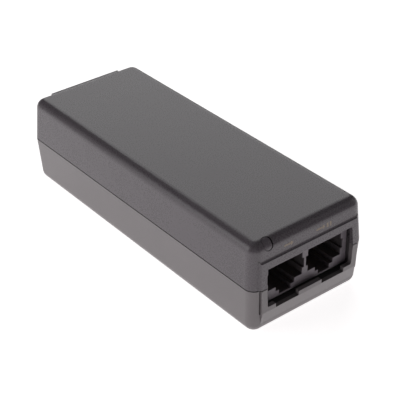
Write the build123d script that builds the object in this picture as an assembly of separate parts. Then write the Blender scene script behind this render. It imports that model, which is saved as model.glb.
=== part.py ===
from build123d import *
import math
import os

os.makedirs("parts", exist_ok=True)

# A desktop PoE injector. Millimetres, +Z up, origin under the middle of the case on the
# surface it stands on. Ports face -Y, the mains inlet faces +Y, the status light is at -X.

# ---- case ----------------------------------------------------------------
CASE_W = 40.0               # across, at the parting plane
CASE_L = 106.0              # end to end, at the parting plane
CASE_H = 28.0
PARTING_Z = 14.5            # where the two shells meet
WALL = 2.2
CORNER_R = 3.0              # upright corners
TOP_DRAFT = 0.88            # how far the top is drawn in on each side
BOTTOM_DRAFT = 0.78
TOP_EDGE_R = 2.9
BOTTOM_EDGE_R = 2.8
INNER_EDGE_R = 0.8
TONGUE_W = 0.9              # lip of the bottom shell that enters the top shell
TONGUE_H = 1.2
LIP_GAP = 0.1
GROOVE_DEPTH = 0.4          # shadow line along the parting plane
GROOVE_HALF = 0.16

# ---- raised frames at both ends ---------------------------------------------
FRAME_LEAN = 0.05           # a frame's sides lean in, away from the parting plane
FRAME_STEP = 0.5            # how far a frame stands off the case
FRAME_FACE = CASE_L / 2 + FRAME_STEP
FRAME_FOOT_Z = 2.6
FRAME_FOOT = (1.2, 4.4)     # depth and height of the slope that ends a frame below
COVE_START = 25.0           # the hollow corner of its upper half is an arc from this angle
COVE_STEPS = 4

# ---- port end -------------------------------------------------------------
PORT_FRAME_HALF_W = 17.2    # at the parting plane
PORT_FRAME_TOP = 22.4
SLOT_W = 0.4                # shadow slot beside the frame's lower half
SLOT_DEPTH = 1.0
SLOT_END_Z = 6.3
APERTURE_HALF_W = 15.35     # at the parting plane
APERTURE_Z = (8.35, 20.4)
APERTURE_R = 0.6
NOTCH_X = (4.1, 12.2)       # finger notch under each latch
NOTCH_Z = 7.1
LIP_T = 1.35                # thickness of the frame's lip in front of the jack

# ---- inlet end --------------------------------------------------------------
INLET_FRAME_HALF_W = 12.4   # at the parting plane
INLET_FRAME_TOP = 26.6
INLET_HALF_W = 10.8
INLET_Z = (8.0, 24.6)
INLET_FACE = FRAME_FACE - 0.75
INLET_REAR = 37.4
INLET_MID_Z = 15.9
RECESS_DEPTH = 12.0
LOBE_R = 3.9                # cloverleaf recess
LOBE_X = 4.2
LOBE_LOW_Z = INLET_MID_Z - 2.0
LOBE_HIGH_Z = INLET_MID_Z + 3.4
PIN_R = 1.15
PIN_LENGTH = 9.5            # free length inside the recess
TAIL_R = 0.7

# ---- dual jack ---------------------------------------------------------------
PORT_X = 7.0                # the port centres are at -PORT_X and +PORT_X
JACK_HALF_W = 15.1
JACK_Y = (-51.1, -36.3)
JACK_Z = (8.0, 21.0)
CAVITY_W = 12.05
CAVITY_Z = (11.2, 18.2)
CAVITY_REAR = -39.6
LATCH_STEPS = ((6.6, 9.85), (4.1, 8.55))   # width and floor height of each step
EAR_Z = (13.2, 16.3)
EAR_DEPTH = 0.67
CONTACTS = 8
CONTACT_PITCH = 1.02
CONTACT_W = 0.45
CONTACT_T = 0.35
CONTACT_TAIL_Y = -38.0
CARRIER_HALF_W = 5.2
CARRIER_Y = (-39.4, -36.5)
CARRIER_TOP = 19.7
JACK_PEG = (14.0, -46.0)    # locating peg at each side, in a hole in the board
PEG_R = 0.8

# ---- status light --------------------------------------------------------------
LIGHT_X = -13.75
LIGHT_R = 1.45              # of the opening in the case
WINDOW_R = 1.25
WINDOW_SHIFT = -0.15        # the window sits against the outer side of its opening
LIGHT_TOP_Y = -51.1         # centre of the window's round end on the top face
LIGHT_FRONT_Z = 26.6        # centre of its round end on the front face
PIPE_R = 1.1
PIPE_RUN_Z = 23.4
PIPE_LEG_Y = -34.2
LED_TOP = 10.0
FIT_GAP = 0.05

# ---- circuit board ---------------------------------------------------------------
BOARD_HALF_W = 16.9
BOARD_HALF_L = 49.9
BOARD_T = 1.6
BOARD_TOP = 8.0
BOARD_LOW = BOARD_TOP - BOARD_T
LEAD_R = 0.35
LEAD_END = BOARD_LOW - 1.2
POSTS = [(sx * 14.1, y) for y in (-41.0, 43.6) for sx in (-1, 1)]
POST_R = 2.4
STUD_R = 1.0
SHEET_T = 0.4
LABEL_HALF = (15.0, 32.0)
LABEL_T = 0.2
LABEL_RECESS = 0.3

# ---- lead positions (x, y), shared by each component and the board's holes ---------
FUSE_XY = (-12.4, 33.2)
VARISTOR_XY = (-4.6, 31.9)
THERMISTOR_XY = (1.6, 31.9)
X_CAP_XY = (10.8, 33.2)
CHOKE_XY = (-9.3, 21.4)
BRIDGE_XY = (-9.3, 11.2)
BULK_XY = (8.6, 14.8)
CHOKE_Z = BOARD_TOP + 7.3
CHOKE_LEG_X = 3.6
CHOKE_LEG_Y = 3.2
HEATSINK_XY = (-9.4, 6.3)
TRANSISTOR_XY = (-9.4, 3.2)
TRANSFORMER_XY = (4.6, -9.8)
Y_CAP_XY = (-12.6, -7.0)
OPTO_XY = (-11.6, -14.5)
SINK2_XY = (-10.6, -20.6)
SCREW_Z = BOARD_TOP + 11.6
RECTIFIER_XY = (-10.6, -23.7)
OUT_CAPS_XY = [(1.2, -29.2), (11.6, -29.2)]
INDUCTOR_XY = (-7.6, -31.0)


# ============================ small helpers ============================
def block(x, y, z):
    """A box from its (low, high) pair along each axis."""
    size = [pair[1] - pair[0] for pair in (x, y, z)]
    middle = [(pair[0] + pair[1]) / 2 for pair in (x, y, z)]
    return Pos(*middle) * Box(*size)


def post(x, y, radius, z_low, z_high):
    """An upright round bar."""
    return Pos(x, y, (z_low + z_high) / 2) * Cylinder(radius, z_high - z_low)


def lying(radius, x, z, y_low, y_high):
    """A round bar along Y."""
    turned = Rot(90, 0, 0) * Cylinder(radius, y_high - y_low)
    return Pos(x, (y_low + y_high) / 2, z) * turned


def rounded_block(x, y, z, radius):
    """A box with its upright edges rounded."""
    return fillet(block(x, y, z).edges().filter_by(Axis.Z), radius)


def leads(points, z_high=BOARD_TOP + 0.6, radius=LEAD_R):
    """The legs of a component, from inside its body down through the board."""
    bars = [post(x, y, radius, LEAD_END, z_high) for x, y in points]
    return Part() + bars


def pair_along_x(centre, spacing):
    return [(centre[0] - spacing / 2, centre[1]), (centre[0] + spacing / 2, centre[1])]


def pair_along_y(centre, spacing):
    return [(centre[0], centre[1] - spacing / 2), (centre[0], centre[1] + spacing / 2)]


def row_along_x(centre, spacing, count):
    start = centre[0] - spacing * (count - 1) / 2
    return [(start + spacing * i, centre[1]) for i in range(count)]


def save(name, part):
    export_step(part, os.path.join("parts", name + ".step"))


# ============================ the case ============================
def drafted_half(inset, z_end, edge_r):
    """One half of the case as a solid, drawn in from the parting plane to z_end."""
    upper = z_end > PARTING_Z
    full = CASE_H - PARTING_Z if upper else PARTING_Z
    draft = (TOP_DRAFT if upper else BOTTOM_DRAFT) * abs(z_end - PARTING_Z) / full
    radius = max(CORNER_R - inset, INNER_EDGE_R + 0.3)
    outlines = []
    for z, shrink in ((PARTING_Z, inset), (z_end, inset + draft)):
        outline = RectangleRounded(CASE_W - 2 * shrink, CASE_L - 2 * shrink, radius)
        outlines.append(Pos(0, 0, z) * outline)
    half = loft(outlines, ruled=True)
    rim = half.faces().sort_by(Axis.Z)[-1 if upper else 0].edges()
    return fillet(rim, edge_r)


def front_plane(y):
    """The plane at y that is drawn on as X across and Z up."""
    return Plane((0, y, 0), x_dir=(1, 0, 0), z_dir=(0, -1, 0))


def frame_section(y, half_w, z_pair):
    """A six-sided outline: widest at the parting plane, narrower above and below."""
    levels = (z_pair[0], PARTING_Z, z_pair[1])
    right = [(half_w - FRAME_LEAN * abs(z - PARTING_Z), z) for z in levels]
    left = [(-x, z) for x, z in reversed(right)]
    return front_plane(y) * make_face(Polyline(*right, *left, close=True))


def leaning_block(half_w, y_pair, z_pair):
    """That outline carried along Y."""
    return extrude(frame_section(y_pair[0], half_w, z_pair), y_pair[1] - y_pair[0],
                   dir=(0, 1, 0))


def lower_frame(half_w):
    """The lower half of a raised frame: an upright face that slopes away at its foot."""
    frame = leaning_block(half_w, (-FRAME_FACE, -CASE_L / 2 + 1.5), (FRAME_FOOT_Z, CASE_H))
    foot_depth, foot_height = FRAME_FOOT
    y, z = -FRAME_FACE, FRAME_FOOT_Z
    slope = make_face(Polyline((y - 1, z - 1), (y - 1, z + foot_height), (y, z + foot_height),
                               (y + foot_depth, z), (y + foot_depth, z - 1), close=True))
    return (frame - extrude(Plane.YZ * slope, CASE_W, both=True)) & LOWER_SPACE


def upper_frame(half_w, top_z):
    """The upper half: it leans back with the case and meets it in a hollow corner."""
    start = math.radians(COVE_START)
    radius = FRAME_STEP / (1 - math.sin(start))
    outlines = []
    for i in range(COVE_STEPS + 1):
        angle = start + (math.pi / 2 - start) * i / COVE_STEPS
        depth = radius * (math.sin(angle) - math.sin(start))
        spread = radius * (math.cos(start) - math.cos(angle))
        outlines.append((depth, spread))
    outlines.append((FRAME_STEP + 1.5, outlines[-1][1]))
    sections = [frame_section(depth - FRAME_FACE, half_w + spread,
                              (PARTING_Z - 2, top_z + spread)) for depth, spread in outlines]
    lean = math.degrees(math.atan(TOP_DRAFT / (CASE_H - PARTING_Z)))
    hinge = Pos(0, -FRAME_FACE, PARTING_Z)
    return (hinge * Rot(-lean, 0, 0) * hinge.inverse() * loft(sections, ruled=True)) & UPPER_SPACE


def frame_slots():
    """Narrow shadow slots beside the lower half of the frame, round at their lower end."""
    slots = []
    depth_pair = (-FRAME_FACE - 1, -CASE_L / 2 + SLOT_DEPTH)
    for side in (-1, 1):
        x = side * (PORT_FRAME_HALF_W + SLOT_W / 2)
        lean = side * FRAME_LEAN * (PARTING_Z - SLOT_END_Z)
        line = Polyline((x, PARTING_Z + 1), (x, PARTING_Z), (x - lean, SLOT_END_Z))
        face = front_plane(depth_pair[0]) * trace(line, line_width=SLOT_W)
        slots.append(extrude(face, depth_pair[1] - depth_pair[0], dir=(0, 1, 0)))
    return slots


def port_cutter():
    """The window in the frame, its finger notches and the pocket that takes the jack."""
    span = (-FRAME_FACE - 1, -FRAME_FACE + LIP_T + 0.1)
    window = leaning_block(APERTURE_HALF_W, span, APERTURE_Z)
    window = fillet(window.edges().filter_by(Axis.Y), APERTURE_R)
    for side in (-1, 1):
        x_pair = tuple(sorted((side * NOTCH_X[0], side * NOTCH_X[1])))
        notch = block(x_pair, span, (NOTCH_Z, APERTURE_Z[0] + 1))
        low_edges = notch.edges().filter_by(Axis.Y).sort_by(Axis.Z)[:2]
        window += fillet(low_edges, 0.25)
    pocket = block((-JACK_HALF_W - 0.2, JACK_HALF_W + 0.2),
                   (LIP_T - FRAME_FACE, -CASE_L / 2 + WALL + 1.5),
                   (NOTCH_Z, JACK_Z[1] + 0.15))
    return window + pocket


def inlet_cutter():
    """The opening in the rear wall that the inlet housing fills."""
    return block((-INLET_HALF_W - LIP_GAP, INLET_HALF_W + LIP_GAP),
                 (CASE_L / 2 - WALL - 1.5, FRAME_FACE + 1),
                 (INLET_Z[0] - LIP_GAP, INLET_Z[1] + LIP_GAP))


def parting_groove():
    """A thin shadow line that follows the outside of the case at the parting plane."""
    z_pair = (PARTING_Z - GROOVE_HALF, PARTING_Z + GROOVE_HALF)
    height = z_pair[1] - z_pair[0]
    core_outline = RectangleRounded(CASE_W - 2 * GROOVE_DEPTH, CASE_L - 2 * GROOVE_DEPTH,
                                    CORNER_R - GROOVE_DEPTH)
    core = extrude(Pos(0, 0, z_pair[0]) * core_outline, height)
    for half_w, end in ((PORT_FRAME_HALF_W, -1), (INLET_FRAME_HALF_W, 1)):
        inner = half_w - GROOVE_DEPTH
        y_pair = tuple(sorted((0, end * (FRAME_FACE - GROOVE_DEPTH))))
        core += block((-inner, inner), y_pair, z_pair)
    slab = block((-CASE_W, CASE_W), (-CASE_L, CASE_L), z_pair)
    return slab - core


def lip_ring(outer_inset, inner_inset, height):
    """A ring that stands on the parting plane, inside the wall."""
    outer = RectangleRounded(CASE_W - 2 * outer_inset, CASE_L - 2 * outer_inset,
                             CORNER_R - outer_inset)
    inner = RectangleRounded(CASE_W - 2 * inner_inset, CASE_L - 2 * inner_inset,
                             max(CORNER_R - inner_inset, 0.5))
    return extrude(Pos(0, 0, PARTING_Z) * (outer - inner), height)


def light_path():
    """The bent centre line of the light pipe, from the window down to the LED."""
    points = [(LIGHT_X, LIGHT_TOP_Y, LIGHT_FRONT_Z), (LIGHT_X, -48.4, PIPE_RUN_Z),
              (LIGHT_X, PIPE_LEG_Y, PIPE_RUN_Z), (LIGHT_X, PIPE_LEG_Y, LED_TOP + 0.2)]
    return FilletPolyline(*points, radius=2.0)


def light_window(radius, centre_x=LIGHT_X):
    """The round-ended strip of the top front edge that the window fills."""
    x_pair = (centre_x - radius, centre_x + radius)
    y_out = -CASE_L / 2 - 1
    strip = block(x_pair, (y_out, LIGHT_TOP_Y), (LIGHT_FRONT_Z, CASE_H + 1))
    strip += post(centre_x, LIGHT_TOP_Y, radius, LIGHT_FRONT_Z, CASE_H + 1)
    strip += lying(radius, centre_x, LIGHT_FRONT_Z, y_out, LIGHT_TOP_Y)
    return strip + Pos(centre_x, LIGHT_TOP_Y, LIGHT_FRONT_Z) * Sphere(radius)


def light_bar(radius):
    """The round bar that carries the light from the LED to the window."""
    path = light_path()
    start = Plane(origin=path @ 0, z_dir=path % 0)
    return sweep(start * Circle(radius), path=path)


def make_light_pipe():
    """The window and the bar behind it, as one moulded piece."""
    return (light_window(WINDOW_R, LIGHT_X + WINDOW_SHIFT) & OUTER_TOP) + light_bar(PIPE_R)


def make_top_shell():
    shell = OUTER_TOP + upper_frame(PORT_FRAME_HALF_W, PORT_FRAME_TOP)
    shell += HALF_TURN * upper_frame(INLET_FRAME_HALF_W, INLET_FRAME_TOP)
    shell -= drafted_half(WALL, CASE_H - WALL, INNER_EDGE_R)
    for x, y in POSTS[2:]:
        holder = post(x, y, POST_R, BOARD_TOP + FIT_GAP, CASE_H - WALL + 0.5)
        shell += holder - post(x, y, STUD_R + LIP_GAP, BOARD_TOP - 1, BOARD_TOP + 2.5)
    for x in (-9.5, 9.5):
        shell += block((x - 0.6, x + 0.6), (-48.5, -38.0),
                       (JACK_Z[1] + FIT_GAP, CASE_H - WALL + 0.5))
    shell -= lip_ring(WALL - TONGUE_W - LIP_GAP, WALL + 0.3, TONGUE_H + LIP_GAP)
    shell -= port_cutter() + inlet_cutter() + parting_groove()
    return shell - light_window(LIGHT_R) - light_bar(PIPE_R + FIT_GAP)


def make_bottom_shell():
    shell = drafted_half(0, 0, BOTTOM_EDGE_R) + lower_frame(PORT_FRAME_HALF_W)
    shell += HALF_TURN * lower_frame(INLET_FRAME_HALF_W)
    shell -= drafted_half(WALL, WALL, INNER_EDGE_R)
    shell += lip_ring(WALL - TONGUE_W, WALL, TONGUE_H)
    for x, y in POSTS:
        shell += post(x, y, POST_R, WALL - 0.5, BOARD_LOW)
        shell += post(x, y, STUD_R, WALL, BOARD_TOP + (2.0 if y > 0 else -0.2))
    shell -= port_cutter() + inlet_cutter() + parting_groove() + frame_slots()
    label = rounded_block((-LABEL_HALF[0], LABEL_HALF[0]), (-LABEL_HALF[1], LABEL_HALF[1]),
                          (-1, LABEL_RECESS), 1.5)
    return shell - label


def make_label():
    half_x = LABEL_HALF[0] - 0.3
    half_y = LABEL_HALF[1] - 0.3
    return rounded_block((-half_x, half_x), (-half_y, half_y),
                         (LABEL_RECESS - LABEL_T, LABEL_RECESS), 1.2)


# ============================ the mains inlet ============================
def inlet_pin(x, z):
    """A round pin with a tail that turns down through the board."""
    floor_y = INLET_FACE - RECESS_DEPTH
    tail_y = floor_y - 1.8
    pin = lying(PIN_R, x, z, tail_y, floor_y + PIN_LENGTH)
    pin = chamfer(pin.faces().sort_by(Axis.Y)[-1].edges(), 0.35)
    return pin + post(x, tail_y + TAIL_R, TAIL_R, LEAD_END, z)


def cloverleaf_recess():
    """Two low lobes and one high lobe, as the mating plug's outline."""
    y_pair = (INLET_FACE - RECESS_DEPTH, INLET_FACE + 1)
    recess = lying(LOBE_R, 0, LOBE_HIGH_Z, *y_pair)
    for side in (-1, 1):
        recess += lying(LOBE_R, side * LOBE_X, LOBE_LOW_Z, *y_pair)
    recess += block((-LOBE_X, LOBE_X), y_pair, (LOBE_LOW_Z - LOBE_R, LOBE_LOW_Z))
    recess += block((-LOBE_R, LOBE_R), y_pair, (LOBE_LOW_Z, LOBE_HIGH_Z))
    return recess


def make_inlet_housing(pins):
    housing = block((-INLET_HALF_W, INLET_HALF_W), (INLET_REAR, INLET_FACE), INLET_Z)
    housing = fillet(housing.edges().filter_by(Axis.Y), 0.8)
    housing -= cloverleaf_recess()
    for pin in pins:
        housing -= pin
    return housing


# ============================ the dual jack ============================
def contact_row(port_x):
    """The eight spring wires of one port: sprung tip, fold, run along the roof, tail."""
    line = Polyline((-42.6, 15.9), (-49.0, 18.5), (CONTACT_TAIL_Y, 19.1),
                    (CONTACT_TAIL_Y, LEAD_END))
    strip = extrude(Plane.YZ * trace(line, line_width=CONTACT_T), CONTACT_W / 2, both=True)
    row = row_along_x((port_x, 0), CONTACT_PITCH, CONTACTS)
    return [Pos(x, 0, 0) * strip for x, _ in row]


def carrier_block(port_x, gap):
    return block((port_x - CARRIER_HALF_W - gap, port_x + CARRIER_HALF_W + gap),
                 (CARRIER_Y[0], CARRIER_Y[1] + gap), (BOARD_TOP - gap, CARRIER_TOP + gap))


def make_carrier(port_x, contacts):
    """The insert that holds one port's wires at the back of the jack."""
    carrier = carrier_block(port_x, 0)
    for contact in contacts:
        carrier -= contact
    return carrier


def port_cavity(port_x):
    """The stepped hollow that takes one plug, latch side down."""
    y_pair = (JACK_Y[0] - 1, CAVITY_REAR)
    half = CAVITY_W / 2
    cavity = block((port_x - half, port_x + half), y_pair, CAVITY_Z)
    for width, floor_z in LATCH_STEPS:
        cavity += block((port_x - width / 2, port_x + width / 2), y_pair,
                        (floor_z, CAVITY_Z[0] + 1))
    ear = half + EAR_DEPTH
    cavity += block((port_x - ear, port_x + ear), (y_pair[0], JACK_Y[0] + 6), EAR_Z)
    roof = CARRIER_HALF_W - 0.8
    cavity += block((port_x - roof, port_x + roof), (JACK_Y[0] + 1.0, CARRIER_Y[0] + 0.5),
                    (CAVITY_Z[1] - 0.5, CARRIER_TOP))
    return cavity


def make_jack_housing():
    housing = block((-JACK_HALF_W, JACK_HALF_W), JACK_Y, JACK_Z)
    for side in (-1, 1):
        housing -= port_cavity(side * PORT_X)
        housing -= carrier_block(side * PORT_X, FIT_GAP)
        housing += post(side * JACK_PEG[0], JACK_PEG[1], PEG_R, BOARD_LOW + 0.2, BOARD_TOP)
    return housing


# ============================ power components ============================
def make_fuse():
    return post(*FUSE_XY, 4.2, BOARD_TOP, 15.6) + leads(pair_along_x(FUSE_XY, 5.08))


def standing_disc(centre, radius, thickness, spacing):
    """A coated disc that stands across the board on two legs."""
    x, y = centre
    middle = BOARD_TOP + 0.4 + radius
    disc = Pos(x, y, middle) * (Rot(0, 90, 0) * Cylinder(radius, thickness))
    disc = fillet(disc.edges(), thickness * 0.3)
    return disc + leads(pair_along_y(centre, spacing), middle - radius / 2)


def box_with_leads(centre, size, z_low, lead_points):
    """A moulded block standing over its legs."""
    x, y = centre
    body = block((x - size[0] / 2, x + size[0] / 2), (y - size[1] / 2, y + size[1] / 2),
                 (z_low, z_low + size[2]))
    body = fillet(body.edges().group_by(Axis.Z)[-1], 0.5)
    return body + leads(lead_points, z_low + 0.6)


def choke_ring():
    x, y = CHOKE_XY
    ring = Cylinder(6.2, 5.6) - Cylinder(3.2, 5.6)
    return Pos(x, y, CHOKE_Z) * (Rot(90, 0, 0) * ring)


def make_choke_windings(ring):
    """Two coils, each wound round one side of the ring, with two legs apiece."""
    x, y = CHOKE_XY
    sleeve = Rot(90, 0, 0) * (Cylinder(7.1, 7.4) - Cylinder(2.3, 7.4))
    sleeve = Pos(x, y, CHOKE_Z) * sleeve - ring
    coils = []
    for side in (-1, 1):
        x_pair = tuple(sorted((x + side * 1.2, x + side * 8)))
        coil = sleeve & block(x_pair, (y - 4, y + 4), (BOARD_TOP, CASE_H))
        legs = pair_along_y((x + side * CHOKE_LEG_X, y), 2 * CHOKE_LEG_Y)
        coils.append(coil + leads(legs, CHOKE_Z - 4.0))
    return coils


def make_bulk_capacitor():
    x, y = BULK_XY
    middle = BOARD_TOP + 7.7
    can = lying(7.5, x, middle, y - 12.2, y + 12.2)
    can = fillet(can.edges(), 0.6)
    groove = lying(8.0, x, middle, y + 9.6, y + 10.4) - lying(7.1, x, middle, y + 9, y + 11)
    can -= groove
    for side in (-1, 1):
        can += post(x + side * 2.5, y + 13.0, LEAD_R, LEAD_END, middle)
        can += lying(LEAD_R, x + side * 2.5, middle, y + 12.0, y + 13.0 + LEAD_R)
    return can


def heatsink(centre, width, height):
    x, y = centre
    plate = block((x - width / 2, x + width / 2), (y - 0.8, y + 0.8),
                  (BOARD_TOP, BOARD_TOP + height))
    for side in (-1, 1):
        end = x + side * width / 2
        pair = tuple(sorted((end, end - side * 1.6)))
        plate += block(pair, (y - 0.8, y + 2.2), (BOARD_TOP, BOARD_TOP + height))
    bore = Pos(x, y, SCREW_Z) * (Rot(90, 0, 0) * Cylinder(1.35, 4))
    return plate - bore


def power_package(centre, width):
    """A tab-mounted package: moulded body, metal tab with a hole, three legs."""
    x, y = centre
    body = block((x - width / 2, x + width / 2), (y - 2.3, y + 1.0), (8.9, 17.1))
    tab = block((x - width / 2, x + width / 2), (y + 1.0, y + 2.3), (8.9, 22.2))
    hole = Pos(x, y, SCREW_Z) * (Rot(90, 0, 0) * Cylinder(1.6, 8))
    return body + tab - hole + leads(row_along_x(centre, 2.54, 3), 11.0)


def make_heatsink_screws():
    """A pan-head screw through each package's tab into its heatsink."""
    screws = []
    for sink, package in ((HEATSINK_XY, TRANSISTOR_XY), (SINK2_XY, RECTIFIER_XY)):
        x = sink[0]
        head_y = package[1] + 1.0
        screw = lying(1.25, x, SCREW_Z, head_y - 0.2, sink[1] + 1.6)
        screws.append(screw + lying(2.4, x, SCREW_Z, head_y - 1.9, head_y))
    return screws


def transformer_parts():
    """Core, bobbin and winding that share one axis along X."""
    x, y = TRANSFORMER_XY
    mid_z = BOARD_TOP + 8.2
    outer = block((x - 11.0, x + 11.0), (y - 3.1, y + 3.1), (mid_z - 8.0, mid_z + 8.0))
    for side in (-1, 1):
        z_pair = tuple(sorted((mid_z + side * 5.2, mid_z + side * 2.6)))
        outer -= block((x - 8.2, x + 8.2), (y - 4, y + 4), z_pair)
    bobbin = block((x - 8.1, x + 8.1), (y - 8.6, y + 8.6), (mid_z - 5.1, mid_z + 5.1))
    bobbin -= block((x - 7.0, x + 7.0), (y - 9, y + 9), (mid_z - 6, mid_z + 6))
    tube = block((x - 7.5, x + 7.5), (y - 4.2, y + 4.2), (mid_z - 3.7, mid_z + 3.7))
    bobbin += tube
    for side in (-1, 1):
        foot_y = y + side * 7.6
        bobbin += block((x - 8.1, x + 8.1), (foot_y - 1.0, foot_y + 1.0),
                        (BOARD_TOP, mid_z - 5.0))
    bobbin -= block((x - 12, x + 12), (y - 3.15, y + 3.15), (mid_z - 2.65, mid_z + 2.65))
    winding = block((x - 6.95, x + 6.95), (y - 8.2, y + 8.2), (mid_z - 4.9, mid_z + 4.9))
    winding = fillet(winding.edges().filter_by(Axis.X), 2.0) - tube
    core = outer - winding
    return core, bobbin, winding


def chip(centre, size, z_side):
    """A flat moulded chip on the board's top (z_side 1) or underside (z_side -1)."""
    x, y = centre
    half_x, half_y, height = size[0] / 2, size[1] / 2, size[2]
    start = BOARD_TOP if z_side > 0 else BOARD_LOW
    z_pair = tuple(sorted((start, start + z_side * height)))
    return block((x - half_x, x + half_x), (y - half_y, y + half_y), z_pair)


def make_inductor():
    x, y = INDUCTOR_XY
    drum = post(x, y, 3.8, BOARD_TOP, BOARD_TOP + 9.0)
    waist = post(x, y, 5, BOARD_TOP + 1.6, BOARD_TOP + 7.4)
    waist -= post(x, y, 3.4, BOARD_TOP + 1, BOARD_TOP + 8)
    return drum - waist + leads(pair_along_x(INDUCTOR_XY, 5.0))


def make_output_capacitors():
    cans = []
    for centre in OUT_CAPS_XY:
        can = fillet(post(*centre, 5.0, BOARD_TOP + 0.3, BOARD_TOP + 15.8).edges(), 0.5)
        cans.append(can + leads(pair_along_x(centre, 5.0), BOARD_TOP + 1))
    return cans


def make_status_led():
    base = post(LIGHT_X, PIPE_LEG_Y, 1.4, BOARD_TOP, LED_TOP - 1.0)
    dome = post(LIGHT_X, PIPE_LEG_Y, 1.1, LED_TOP - 1.0, LED_TOP)
    return base + fillet(dome.faces().sort_by(Axis.Z)[-1].edges(), 0.6)


# ============================ the board ============================
def lead_points():
    points = pair_along_x(FUSE_XY, 5.08)
    points += pair_along_y(VARISTOR_XY, 5.0) + pair_along_y(THERMISTOR_XY, 5.0)
    points += pair_along_x(X_CAP_XY, 10.0)
    points += row_along_x(BRIDGE_XY, 3.8, 4)
    for side in (-1, 1):
        leg_x = CHOKE_XY[0] + side * CHOKE_LEG_X
        points += pair_along_y((leg_x, CHOKE_XY[1]), 2 * CHOKE_LEG_Y)
    points += pair_along_x((BULK_XY[0], BULK_XY[1] + 13.0), 5.0)
    points += row_along_x(TRANSISTOR_XY, 2.54, 3) + row_along_x(RECTIFIER_XY, 2.54, 3)
    points += pair_along_y(Y_CAP_XY, 5.0)
    points += pair_along_x(INDUCTOR_XY, 5.0)
    for centre in OUT_CAPS_XY:
        points += pair_along_x(centre, 5.0)
    return points


def make_board():
    board = rounded_block((-BOARD_HALF_W, BOARD_HALF_W), (-BOARD_HALF_L, BOARD_HALF_L),
                          (BOARD_LOW, BOARD_TOP), 1.0)
    holes = [post(x, y, LEAD_R + 0.1, BOARD_LOW - 1, BOARD_TOP + 1) for x, y in lead_points()]
    holes += [post(x, y, STUD_R + 0.15, BOARD_LOW - 1, BOARD_TOP + 1) for x, y in POSTS]
    for side in (-1, 1):
        for x, _ in row_along_x((side * PORT_X, 0), CONTACT_PITCH, CONTACTS):
            holes.append(post(x, CONTACT_TAIL_Y, 0.38, BOARD_LOW - 1, BOARD_TOP + 1))
        holes.append(post(side * JACK_PEG[0], JACK_PEG[1], PEG_R + 0.15,
                          BOARD_LOW - 1, BOARD_TOP + 1))
    tail_y = INLET_FACE - RECESS_DEPTH - 1.8 + TAIL_R
    for x in (-LOBE_X, 0, LOBE_X):
        holes.append(post(x, tail_y, TAIL_R + 0.15, BOARD_LOW - 1, BOARD_TOP + 1))
    return board - holes


def make_insulation_sheet():
    sheet = rounded_block((-16.2, 16.2), (-48.5, 48.5), (WALL, WALL + SHEET_T), 1.0)
    return sheet - [post(x, y, POST_R + 0.3, WALL - 1, WALL + 2) for x, y in POSTS]


def make_surge_suppressors():
    return [chip((x, -42.5), (2.4, 3.6, 1.9), -1) for x in (-9.0, -3.0, 3.0, 9.0)]


# ============================ build everything ============================
UPPER_SPACE = block((-CASE_W, CASE_W), (-CASE_L, CASE_L), (PARTING_Z, 2 * CASE_H))
LOWER_SPACE = block((-CASE_W, CASE_W), (-CASE_L, CASE_L), (-CASE_H, PARTING_Z))
OUTER_TOP = drafted_half(0, CASE_H, TOP_EDGE_R)
HALF_TURN = Rot(0, 0, 180)

inlet_pins = {"live_pin": inlet_pin(LOBE_X, LOBE_LOW_Z),
              "neutral_pin": inlet_pin(-LOBE_X, LOBE_LOW_Z),
              "earth_pin": inlet_pin(0, LOBE_HIGH_Z)}
left_contacts = contact_row(-PORT_X)
right_contacts = contact_row(PORT_X)
core, bobbin, winding = transformer_parts()
ring = choke_ring()

PARTS = {
    "top_shell": make_top_shell(),
    "bottom_shell": make_bottom_shell(),
    "light_pipe": make_light_pipe(),
    "rating_label": make_label(),
    "jack_housing": make_jack_housing(),
    "data_port_contacts": Compound(left_contacts),
    "power_port_contacts": Compound(right_contacts),
    "data_port_carrier": make_carrier(-PORT_X, left_contacts),
    "power_port_carrier": make_carrier(PORT_X, right_contacts),
    "inlet_housing": make_inlet_housing(inlet_pins.values()),
    "circuit_board": make_board(),
    "insulation_sheet": make_insulation_sheet(),
    "fuse": make_fuse(),
    "varistor": standing_disc(VARISTOR_XY, 5.0, 4.2, 5.0),
    "inrush_thermistor": standing_disc(THERMISTOR_XY, 4.6, 3.8, 5.0),
    "suppression_capacitor": box_with_leads(X_CAP_XY, (12.0, 5.6, 11.0), BOARD_TOP,
                                            pair_along_x(X_CAP_XY, 10.0)),
    "choke_core": ring,
    "choke_windings": Compound(make_choke_windings(ring)),
    "bridge_rectifier": box_with_leads(BRIDGE_XY, (14.4, 3.6, 10.6), BOARD_TOP + 1.5,
                                       row_along_x(BRIDGE_XY, 3.8, 4)),
    "bulk_capacitor": make_bulk_capacitor(),
    "switching_transistor": power_package(TRANSISTOR_XY, 10.2),
    "primary_heatsink": heatsink(HEATSINK_XY, 14.0, 15.5),
    "heatsink_screws": Compound(make_heatsink_screws()),
    "transformer_core": core,
    "transformer_bobbin": bobbin,
    "transformer_winding": winding,
    "safety_capacitor": standing_disc(Y_CAP_XY, 4.4, 3.4, 5.0),
    "optocoupler": chip(OPTO_XY, (6.4, 4.6, 3.5), 1),
    "output_rectifier": power_package(RECTIFIER_XY, 10.2),
    "secondary_heatsink": heatsink(SINK2_XY, 12.0, 15.0),
    "output_capacitors": Compound(make_output_capacitors()),
    "output_inductor": make_inductor(),
    "data_transformer": chip((4.0, -21.8), (15.2, 7.2, 2.8), -1),
    "power_controller": chip((2.0, -12.5), (8.6, 3.9, 1.6), -1),
    "surge_suppressors": Compound(make_surge_suppressors()),
    "status_led": make_status_led(),
}
PARTS.update(inlet_pins)

for name, part in PARTS.items():
    save(name, part)
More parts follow.
